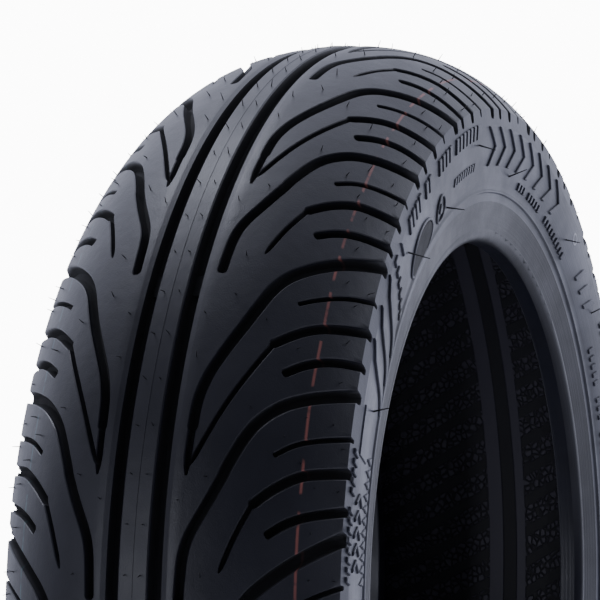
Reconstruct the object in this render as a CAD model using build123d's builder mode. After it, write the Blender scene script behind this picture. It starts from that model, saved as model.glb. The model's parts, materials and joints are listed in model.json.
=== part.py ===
from build123d import *
from math import acos, atan2, cos, degrees, hypot, pi, radians, sin
import os

os.makedirs("parts", exist_ok=True)

# A tubeless 130/70-12 motorcycle tyre, in millimetres. The wheel axis is +Y, +Z is up and the
# origin is the wheel centre. A cross-section is drawn in (y, r): y along the axis, r from it.
# The tyre is a stack of bonded layers, so the layers are lanes of one carcass line, and a
# lane's offset is positive towards the outside of the tyre.

# Overall sizes
bead_seat_diameter = 304.0  # a 12 inch rim
section_height = 88.0  # from the bead seat to the middle of the tread
tread_width = 134.0  # between the two tread edges, over the crown
crown_radius = 117.0  # middle of the tread, seen in cross-section
crown_angle = 12.0  # half angle of the middle arc
shoulder_drop = 30.5  # tread edge below the middle of the tread
shoulder_turn = 48.0  # angle where the carcass leaves the tread arcs
side_radius = 31.5  # carcass arc of the sidewall

# Layer thicknesses
tread_cap_thickness = 7.5
tread_base_thickness = 1.6
breaker_thickness = 0.9
ply_thickness = 0.8
liner_thickness = 1.2
chafer_thickness = 0.6
flipper_thickness = 0.6

# Layer ends
breaker_outer_end = 37.0  # angles on the shoulder arc
breaker_inner_end = 40.0
tread_base_end = 52.0  # angles on the sidewall arc
wedge_end = 75.0
wedge_middle = 63.5
wedge_middle_height = 0.8
outer_ply_turn_up = 9.0  # heights above the bead core's centre
inner_ply_turn_up = 8.4
chafer_height = 6.2
flipper_height = 5.5
filler_height = 7.8
liner_end_height = 9.5
chafer_inside_height = 7.0

# Bead
bead_face_inset = 5.1  # top of the bead's face, nearer the middle than the tread edge
bead_width = 14.1  # from its innermost corner to the top of its face
bead_face_slope = 3.1  # the foot of the face lies this much further in
bead_seat_length = 7.4
core_lane_radius = 2.8  # carcass line around the bead core
seat_rubber = 2.2  # under the chafer
toe_rubber = 0.8
toe_fillet = 0.8
heel_height = 5.6
core_top = 1.9  # flat top of the core, above its centre
wire_diameter = 0.9
wire_pitch = 1.1
wire_rows = 3

# Sidewall
tread_seam_drop = 7.0  # from the tread edge down to the tread and sidewall seam
tread_seam_bulge = 0.4
sidewall_middle_inset = 0.6  # inside the tread edge
sidewall_middle_height = 38.0  # above the bead seat
sidewall_foot_step = 0.7  # outside the bead's face
sidewall_foot_height = 23.0
rim_line_width = 1.6
rim_line_height = 0.6
rim_line_undercut = 0.2
strip_seam_height = 10.4  # above the core's centre, on the outer face
strip_seam_slope = 3.0

# Tread grooves
groove_inner_edge = 5.6
groove_width = 5.4
groove_floor_width = 3.6
groove_depth = 6.0
groove_chamfer = 0.8
pitches = 12  # times that the side pattern repeats
pattern_start = 16.5  # angle of the first arrow tip, from -X towards +Z
wide_depth = 4.5
thin_depth = 3.0
long_width = 4.4
side_width = 3.4
blunt_width = 3.0
thin_width = 1.6
run_out = 3.0  # side grooves go on past the tread edge

section = Plane.YZ
seat_r = bead_seat_diameter / 2
crown_r = seat_r + section_height
bead_face_offset = tread_width / 2 - bead_face_inset
bead_toe_offset = bead_face_offset - bead_width
breaker_stack = 2 * breaker_thickness
cover = breaker_stack + tread_base_thickness + tread_cap_thickness
base_lane = breaker_stack + tread_base_thickness
ply_inner_lane = -2 * ply_thickness
liner_lane = ply_inner_lane - liner_thickness
chafer_lane = ply_inner_lane - chafer_thickness


def normal(angle):
    """Outward direction at an angle from straight up, in (y, r)"""
    return Vector(sin(radians(angle)), cos(radians(angle)))


# Crown arcs of the outer surface: a middle arc, and a tangent one that ends at the tread edge
crown_centre = Vector(0, crown_r - crown_radius)
crown_joint = crown_centre + normal(crown_angle) * crown_radius
tread_edge = Vector(tread_width / 2, crown_r - shoulder_drop)
to_edge = tread_edge - crown_joint
shoulder_radius = -to_edge.dot(to_edge) / (2 * to_edge.dot(normal(crown_angle)))
shoulder_centre = crown_joint - normal(crown_angle) * shoulder_radius
edge_from_centre = tread_edge - shoulder_centre
edge_angle = degrees(atan2(edge_from_centre.X, edge_from_centre.Y))

# The carcass arc of the sidewall is tangent to the shoulder arc
turn_point = shoulder_centre + normal(shoulder_turn) * (shoulder_radius - cover)
side_centre = turn_point - normal(shoulder_turn) * side_radius

# The carcass goes down the inner side of the bead core, under it and up its outer side
wrap = core_lane_radius + 2 * ply_thickness + chafer_thickness
core_centre = Vector(bead_toe_offset + toe_rubber + wrap, seat_r + seat_rubber + wrap)
to_core = core_centre - side_centre
core_direction = degrees(atan2(to_core.X, to_core.Y))
tangent_share = (side_radius + core_lane_radius) / hypot(to_core.X, to_core.Y)
side_end = core_direction - degrees(acos(tangent_share))
turn_up_limit = 20.0

CROWN, SHOULDER, SIDE, FLANK, CORE, TURN_UP = range(6)
arc_spans = {
    CROWN: (crown_centre, crown_radius - cover, 0.0, crown_angle),
    SHOULDER: (shoulder_centre, shoulder_radius - cover, crown_angle, shoulder_turn),
    SIDE: (side_centre, side_radius, shoulder_turn, side_end),
    CORE: (core_centre, -core_lane_radius, side_end, -90.0),
}


def lane_point(station, lane):
    """Point of a lane at a station, which is (span, share of the span)"""
    span, share = station
    if span in arc_spans:
        centre, radius, first, last = arc_spans[span]
        return centre + normal(first + (last - first) * share) * (radius + lane)
    if span == FLANK:
        top = lane_point((SIDE, 1.0), lane)
        return top + (lane_point((CORE, 0.0), lane) - top) * share
    return lane_point((CORE, 1.0), lane) + Vector(0, turn_up_limit * share)


def at_angle(span, angle):
    """Station at an angle of an arc, the same for every lane"""
    first, last = arc_spans[span][2:]
    return lambda lane: (span, (angle - first) / (last - first))


def at_height(height, turned_up=False):
    """Station where a lane is at a height above the core's centre, on either side of the bead"""

    def station(lane):
        if turned_up:
            return (TURN_UP, height / turn_up_limit)
        top = lane_point((FLANK, 0.0), lane).Y - core_centre.Y
        foot = lane_point((FLANK, 1.0), lane).Y - core_centre.Y
        if height <= top:
            return (FLANK, (top - height) / (top - foot))
        rise = core_centre.Y + height - side_centre.Y
        angle = degrees(acos(rise / (side_radius + lane)))
        return at_angle(SIDE, angle)(lane)

    return station


middle = at_angle(CROWN, 0.0)


def draw_lane(lane, start, end):
    """Adds a lane's arcs and lines from start to end to the current line"""
    (first, first_share), (last, last_share) = start(lane), end(lane)
    for span in range(first, last + 1):
        a = first_share if span == first else 0.0
        b = last_share if span == last else 1.0
        if b - a < 1e-9:
            continue
        ends = lane_point((span, a), lane), lane_point((span, b), lane)
        if span in arc_spans:
            ThreePointArc(ends[0], lane_point((span, (a + b) / 2), lane), ends[1])
        else:
            Line(*ends)


def draw_band(inner, outer, start, end):
    """Adds the closed outline of a layer between two lanes to the current line"""
    draw_lane(inner, start, end)
    draw_lane(outer, start, end)
    for station in (start, end):
        Line(lane_point(station(inner), inner), lane_point(station(outer), outer))


def finish(builder, name):
    """Labels a sub-part and writes it"""
    builder.part.label = name
    export_step(builder.part, f"parts/{name}.step")


# Inner liner: the airtight skin, from the inside of one bead to the other
with BuildPart() as inner_liner:
    with BuildSketch(section):
        with BuildLine():
            draw_band(liner_lane, ply_inner_lane, middle, at_height(liner_end_height))
        make_face()
        mirror(about=Plane.YZ)
    revolve(axis=Axis.Y)
finish(inner_liner, "inner_liner")

# Carcass plies: each runs from bead to bead and turns up around both cores
with BuildPart() as carcass_ply_inner:
    with BuildSketch(section):
        with BuildLine():
            draw_band(ply_inner_lane, -ply_thickness, middle, at_height(inner_ply_turn_up, True))
        make_face()
        mirror(about=Plane.YZ)
    revolve(axis=Axis.Y)
finish(carcass_ply_inner, "carcass_ply_inner")

with BuildPart() as carcass_ply_outer:
    with BuildSketch(section):
        with BuildLine():
            draw_band(-ply_thickness, 0.0, middle, at_height(outer_ply_turn_up, True))
        make_face()
        mirror(about=Plane.YZ)
    revolve(axis=Axis.Y)
finish(carcass_ply_outer, "carcass_ply_outer")

# Breaker plies under the tread, the outer one narrower
with BuildPart() as breaker_ply_inner:
    with BuildSketch(section):
        with BuildLine():
            draw_band(0.0, breaker_thickness, middle, at_angle(SHOULDER, breaker_inner_end))
        make_face()
        mirror(about=Plane.YZ)
    revolve(axis=Axis.Y)
finish(breaker_ply_inner, "breaker_ply_inner")

with BuildPart() as breaker_ply_outer:
    with BuildSketch(section):
        with BuildLine():
            draw_band(breaker_thickness, breaker_stack, middle, at_angle(SHOULDER, breaker_outer_end))
        make_face()
        mirror(about=Plane.YZ)
    revolve(axis=Axis.Y)
finish(breaker_ply_outer, "breaker_ply_outer")

# Tread base: the softer rubber between the breakers and the tread
base_end = at_angle(SIDE, tread_base_end)
with BuildPart() as tread_base:
    with BuildSketch(section):
        with BuildLine():
            draw_band(breaker_stack, base_lane, middle, base_end)
        make_face()
        mirror(about=Plane.YZ)
    revolve(axis=Axis.Y)
finish(tread_base, "tread_base")

# Tread: from the middle over the tread edge to the seam with the sidewall
seam_point = tread_edge + Vector(tread_seam_bulge, -tread_seam_drop)
shoulder_middle = shoulder_centre + normal((crown_angle + edge_angle) / 2) * shoulder_radius
groove_middle = groove_inner_edge + groove_width / 2
groove_top = crown_centre.Y + (crown_radius**2 - groove_middle**2) ** 0.5
groove_floor = groove_top - groove_depth
groove_mouth = groove_width / 2 + groove_chamfer
groove_clear = 1.0


def draw_groove(top, floor, sides):
    """Adds a main groove's outline, narrower at the floor, to the current line"""
    lip = groove_width / 2
    Polyline(
        (groove_middle - sides, top),
        (groove_middle - lip, groove_top - groove_chamfer),
        (groove_middle - groove_floor_width / 2, floor),
        (groove_middle + groove_floor_width / 2, floor),
        (groove_middle + lip, groove_top - groove_chamfer),
        (groove_middle + sides, top),
        close=True,
    )


# Side grooves of one pitch. Each has a width, a depth and the points of its middle line, which
# are (share of the pitch, distance from the middle over the surface).
edge_distance = crown_radius * radians(crown_angle)
edge_distance += shoulder_radius * radians(edge_angle - crown_angle)
exit_distance = edge_distance + run_out
side_grooves = (
    (thin_width, thin_depth, ((0.0, 17.6), (0.16, 18.0))),
    (long_width, wide_depth, ((0.13, 18), (0.28, 20), (0.47, 30.5), (0.63, 40), (0.73, 52.5),
                              (0.8, 66), (0.865, exit_distance))),
    (long_width, wide_depth, ((-0.36, 17.6), (-0.17, 20.5), (0.0, 30.5), (0.11, 37.5),
                              (0.19, 46), (0.245, 56), (0.29, 66.5), (0.345, exit_distance))),
    (thin_width, thin_depth, ((0.04, 18.6), (0.43, 42.5))),
    (side_width, wide_depth, ((0.42, 41.5), (0.48, 50.5), (0.54, 66), (0.575, exit_distance))),
    (thin_width, thin_depth, ((-0.27, 31.6), (-0.07, 42.0))),
    (side_width, wide_depth, ((-0.08, 41.5), (-0.015, 51), (0.03, 62), (0.07, exit_distance))),
    (blunt_width, wide_depth, ((-0.16, 47.5), (-0.1, 60), (-0.055, exit_distance))),
    (blunt_width, wide_depth, ((0.335, 47.5), (0.4, 60), (0.455, exit_distance))),
    (thin_width, thin_depth, ((0.08, 48), (0.14, 61), (0.19, exit_distance))),
    (thin_width, thin_depth, ((0.577, 48), (0.64, 61), (0.7, exit_distance))),
)


def tread_frame(share, distance):
    """Point of the crown and the directions outwards, across the tread and round it"""
    angle = degrees(distance / crown_radius)
    centre, radius = crown_centre, crown_radius
    if angle > crown_angle:
        past_joint = distance - crown_radius * radians(crown_angle)
        angle = crown_angle + degrees(past_joint / shoulder_radius)
        centre, radius = shoulder_centre, shoulder_radius
    turn = radians(pattern_start + share * 360 / pitches)
    radial = Vector(-cos(turn), 0, sin(turn))
    place = centre + normal(angle) * radius
    outwards = radial * normal(angle).Y + Vector(0, normal(angle).X, 0)
    across = Vector(0, normal(angle).Y, 0) - radial * normal(angle).X
    return radial * place.Y + Vector(0, place.X, 0), outwards, across


def groove_cutter(width, depth, points):
    """One side groove of the left half, as a solid to take away"""
    places = [tread_frame(*point)[0] for point in points]
    with BuildPart() as cutter:
        for i, point in enumerate(points):
            place, outwards, across = tread_frame(*point)
            along = places[min(i + 1, len(points) - 1)] - places[max(i - 1, 0)]
            sideways = outwards.cross(along).normalized()
            plane = Plane(place, x_dir=sideways, z_dir=sideways.cross(outwards))
            with BuildSketch(plane):
                with Locations((0, (groove_clear - depth) / 2)):
                    Rectangle(width, depth + groove_clear)
        loft(ruled=True)
    return cutter.part


left_cutters = [groove_cutter(*groove) for groove in side_grooves]
pitch_cutters = left_cutters + [cutter.mirror(Plane.XZ) for cutter in left_cutters]
cutters = [
    cutter.rotate(Axis.Y, i * 360 / pitches) for i in range(pitches) for cutter in pitch_cutters
]

with BuildPart() as tread:
    with BuildSketch(section):
        with BuildLine():
            ThreePointArc(
                crown_centre + normal(0) * crown_radius,
                crown_centre + normal(crown_angle / 2) * crown_radius,
                crown_joint,
            )
            ThreePointArc(crown_joint, shoulder_middle, tread_edge)
            Line(tread_edge, seam_point)
            Line(seam_point, lane_point(base_end(base_lane), base_lane))
            draw_lane(base_lane, middle, base_end)
            Line(
                lane_point(middle(base_lane), base_lane),
                crown_centre + normal(0) * crown_radius,
            )
        make_face()
        mirror(about=Plane.YZ)
    revolve(axis=Axis.Y)
    with BuildSketch(section):
        with BuildLine():
            draw_groove(groove_top + groove_clear, groove_floor, groove_mouth + groove_clear)
        make_face()
        mirror(about=Plane.YZ)
    revolve(axis=Axis.Y, mode=Mode.SUBTRACT)
    add(cutters, mode=Mode.SUBTRACT)
finish(tread, "tread")

# The parts of one side of the tyre. The left side lies at +Y, and the right side is drawn on a
# section plane that runs the other way.
left_section = section
right_section = Plane((0, 0, 0), x_dir=(0, -1, 0), z_dir=(-1, 0, 0))
for side, side_section in (("left", left_section), ("right", right_section)):
    wedge_tip = at_angle(SIDE, wedge_end)
    with BuildPart() as shoulder_wedge:
        with BuildSketch(side_section):
            with BuildLine():
                inner_end = at_angle(SHOULDER, breaker_inner_end)
                outer_end = at_angle(SHOULDER, breaker_outer_end)
                draw_lane(0.0, inner_end, wedge_tip)
                Line(lane_point(inner_end(0), 0.0), lane_point(inner_end(0), breaker_thickness))
                draw_lane(breaker_thickness, outer_end, inner_end)
                Line(
                    lane_point(outer_end(0), breaker_thickness),
                    lane_point(outer_end(0), breaker_stack),
                )
                draw_lane(breaker_stack, outer_end, base_end)
                ThreePointArc(
                    lane_point(base_end(0), breaker_stack),
                    lane_point(at_angle(SIDE, wedge_middle)(0), wedge_middle_height),
                    lane_point(wedge_tip(0), 0.0),
                )
            make_face()
        revolve(axis=Axis.Y)
    finish(shoulder_wedge, f"shoulder_wedge_{side}")

    # Sidewall, with the raised rim line that shows the tyre is seated evenly
    strip_seam_outer = Vector(bead_face_offset, core_centre.Y + strip_seam_height)
    strip_seam_inner = Vector(
        lane_point((TURN_UP, 0.0), ply_inner_lane).X,
        strip_seam_outer.Y - strip_seam_slope,
    )
    sidewall_middle = Vector(
        tread_width / 2 - sidewall_middle_inset,
        seat_r + sidewall_middle_height,
    )
    sidewall_foot = Vector(
        bead_face_offset + sidewall_foot_step,
        seat_r + sidewall_foot_height,
    )
    rim_line_top = sidewall_foot - Vector(0, rim_line_width / 2)
    with BuildPart() as sidewall:
        with BuildSketch(side_section):
            with BuildLine():
                inner_top = at_height(inner_ply_turn_up, True)
                outer_top = at_height(outer_ply_turn_up, True)
                filler_outer = at_height(filler_height, True)
                filler_inner = at_height(filler_height)
                ThreePointArc(seam_point, sidewall_middle, sidewall_foot)
                Polyline(
                    sidewall_foot,
                    rim_line_top + Vector(rim_line_height, 0),
                    rim_line_top + Vector(rim_line_height, -rim_line_width / 2),
                    rim_line_top + Vector(-rim_line_undercut, -rim_line_width),
                    strip_seam_outer,
                    strip_seam_inner,
                    lane_point(inner_top(0), ply_inner_lane),
                    lane_point(inner_top(0), -ply_thickness),
                    lane_point(outer_top(0), -ply_thickness),
                    lane_point(outer_top(0), 0.0),
                    lane_point(filler_outer(0), 0.0),
                    lane_point(filler_inner(0), 0.0),
                )
                draw_lane(0.0, wedge_tip, filler_inner)
                ThreePointArc(
                    lane_point(base_end(0), breaker_stack),
                    lane_point(at_angle(SIDE, wedge_middle)(0), wedge_middle_height),
                    lane_point(wedge_tip(0), 0.0),
                )
                Line(lane_point(base_end(0), breaker_stack), lane_point(base_end(0), base_lane))
                Line(lane_point(base_end(0), base_lane), seam_point)
            make_face()
        revolve(axis=Axis.Y)
    finish(sidewall, f"sidewall_{side}")

    # Chafer: fabric that wraps the bead against rubbing on the rim
    chafer_start = at_height(chafer_inside_height)
    chafer_end = at_height(chafer_height, True)
    with BuildPart() as chafer:
        with BuildSketch(side_section):
            with BuildLine():
                draw_band(chafer_lane, ply_inner_lane, chafer_start, chafer_end)
            make_face()
        revolve(axis=Axis.Y)
    finish(chafer, f"chafer_{side}")

    # Rim strip: the hard rubber around the bead, with the toe, the seat and the heel
    liner_foot = at_height(liner_end_height)
    beside_core = at_angle(CORE, 90.0)
    toe = Vector(bead_toe_offset, seat_r)
    heel = Vector(bead_toe_offset + bead_seat_length, seat_r)
    heel_top = Vector(bead_face_offset - bead_face_slope, seat_r + heel_height)
    heel_bulge = Vector(
        heel.X + (heel_top.X - heel.X) * sin(pi / 4),
        heel_top.Y - (heel_top.Y - heel.Y) * cos(pi / 4),
    )
    with BuildPart() as rim_strip:
        with BuildSketch(side_section):
            with BuildLine():
                draw_lane(ply_inner_lane, liner_foot, chafer_start)
                draw_lane(chafer_lane, chafer_start, chafer_end)
                for edge in (chafer_start, chafer_end):
                    Line(
                        lane_point(edge(ply_inner_lane), ply_inner_lane),
                        lane_point(edge(chafer_lane), chafer_lane),
                    )
                Polyline(
                    lane_point(chafer_end(0), ply_inner_lane),
                    strip_seam_inner,
                    strip_seam_outer,
                    heel_top,
                )
                ThreePointArc(heel_top, heel_bulge, heel)
                Line(heel, toe + Vector(toe_fillet, 0))
                RadiusArc(toe + Vector(toe_fillet, 0), toe + Vector(0, toe_fillet), toe_fillet)
                Line(toe + Vector(0, toe_fillet), lane_point(beside_core(0), liner_lane))
                draw_lane(liner_lane, liner_foot, beside_core)
                Line(
                    lane_point(liner_foot(liner_lane), liner_lane),
                    lane_point(liner_foot(ply_inner_lane), ply_inner_lane),
                )
            make_face()
        revolve(axis=Axis.Y)
    finish(rim_strip, f"rim_strip_{side}")

    # Flipper: fabric folded around the core and the lower filler
    flipper_start = at_height(flipper_height)
    flipper_end = at_height(flipper_height, True)
    with BuildPart() as bead_flipper:
        with BuildSketch(side_section):
            with BuildLine():
                draw_band(0.0, flipper_thickness, flipper_start, flipper_end)
            make_face()
        revolve(axis=Axis.Y)
    finish(bead_flipper, f"bead_flipper_{side}")

    # Filler: the hard rubber wedge between the main plies and their turned-up ends
    core_start = at_height(core_top)
    core_end = at_height(core_top, True)
    filler_start = at_height(filler_height)
    filler_end = at_height(filler_height, True)
    with BuildPart() as bead_filler:
        with BuildSketch(side_section):
            with BuildLine():
                draw_lane(0.0, filler_start, flipper_start)
                draw_lane(flipper_thickness, flipper_start, core_start)
                Polyline(
                    lane_point(core_start(flipper_thickness), flipper_thickness),
                    lane_point(core_end(0), flipper_thickness),
                    lane_point(flipper_end(0), flipper_thickness),
                    lane_point(flipper_end(0), 0.0),
                    lane_point(filler_end(0), 0.0),
                    lane_point(filler_start(0.0), 0.0),
                )
                Line(
                    lane_point(flipper_start(0.0), 0.0),
                    lane_point(flipper_start(flipper_thickness), flipper_thickness),
                )
            make_face()
        revolve(axis=Axis.Y)
    finish(bead_filler, f"bead_filler_{side}")

    # Bead wires: separate steel hoops, and the rubber that holds them
    with BuildPart() as bead_wires:
        with BuildSketch(side_section):
            with Locations((core_centre.X, core_centre.Y)):
                with GridLocations(wire_pitch, wire_pitch, wire_rows, wire_rows):
                    Circle(wire_diameter / 2)
        revolve(axis=Axis.Y)
    finish(bead_wires, f"bead_wires_{side}")

    with BuildPart() as bead_insulation:
        with BuildSketch(side_section):
            with BuildLine():
                draw_lane(flipper_thickness, core_start, core_end)
                Line(
                    lane_point(core_start(flipper_thickness), flipper_thickness),
                    lane_point(core_end(0), flipper_thickness),
                )
            make_face()
            with Locations((core_centre.X, core_centre.Y)):
                with GridLocations(wire_pitch, wire_pitch, wire_rows, wire_rows):
                    Circle(wire_diameter / 2, mode=Mode.SUBTRACT)
        revolve(axis=Axis.Y)
    finish(bead_insulation, f"bead_insulation_{side}")
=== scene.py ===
"""A tubeless scooter tyre, 480 mm over the tread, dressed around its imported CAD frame."""

import json
import logging
import math
import random
from contextlib import contextmanager
from dataclasses import dataclass, field
from enum import Enum
from typing import Callable, Iterator, Sequence

import bmesh
import bpy
from mathutils import Matrix, Vector


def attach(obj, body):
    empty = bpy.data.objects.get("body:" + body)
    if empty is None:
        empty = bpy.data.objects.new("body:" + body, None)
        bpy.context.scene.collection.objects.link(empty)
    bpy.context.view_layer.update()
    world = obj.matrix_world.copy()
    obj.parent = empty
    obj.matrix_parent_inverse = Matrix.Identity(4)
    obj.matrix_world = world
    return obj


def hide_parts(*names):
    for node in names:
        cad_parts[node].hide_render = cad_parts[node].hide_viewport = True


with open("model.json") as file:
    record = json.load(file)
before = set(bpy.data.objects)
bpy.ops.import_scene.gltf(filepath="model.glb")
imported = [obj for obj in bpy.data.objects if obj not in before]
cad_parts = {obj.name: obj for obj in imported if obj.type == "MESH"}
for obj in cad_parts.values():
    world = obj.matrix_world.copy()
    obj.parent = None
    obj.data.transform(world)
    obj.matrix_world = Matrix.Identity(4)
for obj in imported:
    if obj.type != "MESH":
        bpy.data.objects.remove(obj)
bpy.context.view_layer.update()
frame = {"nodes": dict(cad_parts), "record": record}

log = logging.getLogger("tyre")
MM = 0.001
Point = tuple[float, float]


# ---------------------------------------------------------------- bench tools
def only(obj: bpy.types.Object) -> None:
    """Deselects everything, then selects one object and makes it active."""
    if bpy.context.object and bpy.context.object.mode != "OBJECT":
        bpy.ops.object.mode_set(mode="OBJECT")
    bpy.ops.object.select_all(action="DESELECT")
    obj.select_set(True)
    bpy.context.view_layer.objects.active = obj


@contextmanager
def editing(obj: bpy.types.Object) -> Iterator[bmesh.types.BMesh]:
    """Opens a piece in edit mode with everything selected, and closes it again.

    Args:
        obj: The piece to open.

    Returns:
        The edit mesh, for selecting by place.
    """
    only(obj)
    bpy.ops.object.mode_set(mode="EDIT")
    bpy.ops.mesh.select_mode(type="VERT")
    bpy.ops.mesh.select_all(action="SELECT")
    yield bmesh.from_edit_mesh(obj.data)
    bmesh.update_edit_mesh(obj.data)
    bpy.ops.object.mode_set(mode="OBJECT")


def primitive(kind: str, name: str, **sizes: object) -> bpy.types.Object:
    """Adds a mesh primitive and names it.

    Args:
        kind: The primitive's operator, without primitive_ and _add.
        name: The name of the piece.
        sizes: What the operator takes.

    Returns:
        The new object.
    """
    if bpy.context.object and bpy.context.object.mode != "OBJECT":
        bpy.ops.object.mode_set(mode="OBJECT")
    bpy.ops.object.select_all(action="DESELECT")
    getattr(bpy.ops.mesh, f"primitive_{kind}_add")(**sizes)
    obj = bpy.context.object
    bpy.ops.object.transform_apply(location=True, rotation=True, scale=True)
    obj.name = name
    return obj


def apply_modifier(obj: bpy.types.Object, kind: str, **settings: object) -> None:
    """Adds one modifier to a piece and applies it."""
    only(obj)
    modifier = obj.modifiers.new("step", kind)
    for key, value in settings.items():
        setattr(modifier, key, value)
    bpy.ops.object.modifier_apply(modifier=modifier.name)


def join(pieces: Sequence[bpy.types.Object], name: str) -> bpy.types.Object:
    """Joins pieces into the first one and names it."""
    only(pieces[0])
    for obj in pieces:
        obj.select_set(True)
    bpy.ops.object.join()
    pieces[0].name = name
    return pieces[0]


def twin(obj: bpy.types.Object) -> bpy.types.Object:
    """Copies a piece, with a mesh of its own."""
    copy = obj.copy()
    copy.data = obj.data.copy()
    bpy.context.scene.collection.objects.link(copy)
    return copy


def close_up(obj: bpy.types.Object, distance: float) -> None:
    """Merges a piece's doubled points and turns its faces outwards."""
    with editing(obj):
        bpy.ops.mesh.remove_doubles(threshold=distance)
        bpy.ops.mesh.select_all(action="SELECT")
        bpy.ops.mesh.normals_make_consistent(inside=False)


def smooth(obj: bpy.types.Object, angle: float) -> None:
    """Shades a piece smooth where its faces meet at less than an angle in degrees."""
    only(obj)
    bpy.ops.object.shade_smooth_by_angle(angle=math.radians(angle))


def move_points(obj: bpy.types.Object, place: Callable[[Vector], Vector]) -> None:
    """Moves every point of a piece to its place."""
    for vertex in obj.data.vertices:
        vertex.co = place(vertex.co)
    obj.data.update()


def register(
    obj: bpy.types.Object,
    material: bpy.types.Material,
    replaced: Sequence[str] = (),
) -> bpy.types.Object:
    """Dresses a finished piece and ties it to the frame.

    Args:
        obj: The piece.
        material: Its finish.
        replaced: The CAD nodes that it stands for.

    Returns:
        The same piece.
    """
    obj.data.materials.clear()
    obj.data.materials.append(material)
    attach(obj, "root")
    if replaced:
        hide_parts(*replaced)
    log.info("%s: %d faces", obj.name, len(obj.data.polygons))
    return obj


# ---------------------------------------------------------------- shader maths
class Value:
    """A number that varies over a surface, as a shader socket with arithmetic."""

    def __init__(self, shop: "Shop", socket: bpy.types.NodeSocket) -> None:
        """Wraps a socket of a material."""
        self.shop = shop
        self.socket = socket

    def maths(self, operation: str, *others: "Value | float") -> "Value":
        """Adds a Math node that takes this value and the others."""
        return self.shop.maths(operation, self, *others)

    def __add__(self, other: "Value | float") -> "Value":
        """Sum."""
        return self.maths("ADD", other)

    __radd__ = __add__

    def __mul__(self, other: "Value | float") -> "Value":
        """Product."""
        return self.maths("MULTIPLY", other)

    __rmul__ = __mul__

    def __sub__(self, other: "Value | float") -> "Value":
        """Difference."""
        return self.maths("SUBTRACT", other)

    def __rsub__(self, other: float) -> "Value":
        """Reflected difference, as in 1 - mask."""
        return self.shop.maths("SUBTRACT", other, self)

    def __abs__(self) -> "Value":
        """Size without sign."""
        return self.maths("ABSOLUTE")

    def band(self, low: float, high: float, soft: float) -> "Value":
        """One between two limits and nothing outside, with soft edges."""
        return self.ramp(low - soft, low + soft) * (1 - self.ramp(high - soft, high + soft))

    def ramp(self, low: float, high: float, first: float = 0.0, last: float = 1.0) -> "Value":
        """Eases from one value to another between two limits."""
        node = self.shop.node(
            "ShaderNodeMapRange",
            {"interpolation_type": "SMOOTHSTEP"},
            {"Value": self, "From Min": low, "From Max": high, "To Min": first, "To Max": last},
        )
        return Value(self.shop, node.outputs["Result"])


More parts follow.
